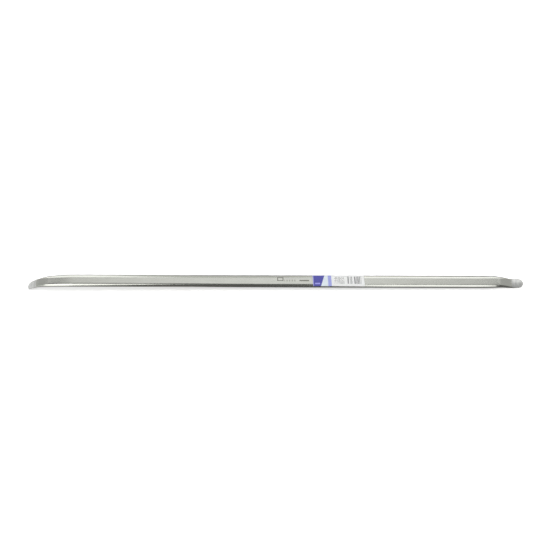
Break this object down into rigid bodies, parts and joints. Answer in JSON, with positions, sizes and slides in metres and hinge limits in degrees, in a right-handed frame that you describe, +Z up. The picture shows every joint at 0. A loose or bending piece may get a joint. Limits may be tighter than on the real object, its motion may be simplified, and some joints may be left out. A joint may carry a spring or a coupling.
{
  "type": "tyre lever",
  "caption": "Long chrome-plated steel tyre lever with a flat-oval shank, a curved hook at one end and a shallow joggled spoon at the other, for lifting a tyre bead over a rim.",
  "frame": {"origin": "on the ground plane, under the middle of the lever's box; the lever stands on the undersides of both tips", "axes": "+X along the lever towards the joggled end, +Y across the flats towards the far edge, +Z up"},
  "size_m": [1.0004, 0.0264, 0.0347],
  "materials": {
    "chrome_steel": "polished",
    "printed_label": "satin"
  },
  "bodies": {
    "root": {"lever": "chrome_steel", "label": "printed_label"}
  },
  "joints": []
}
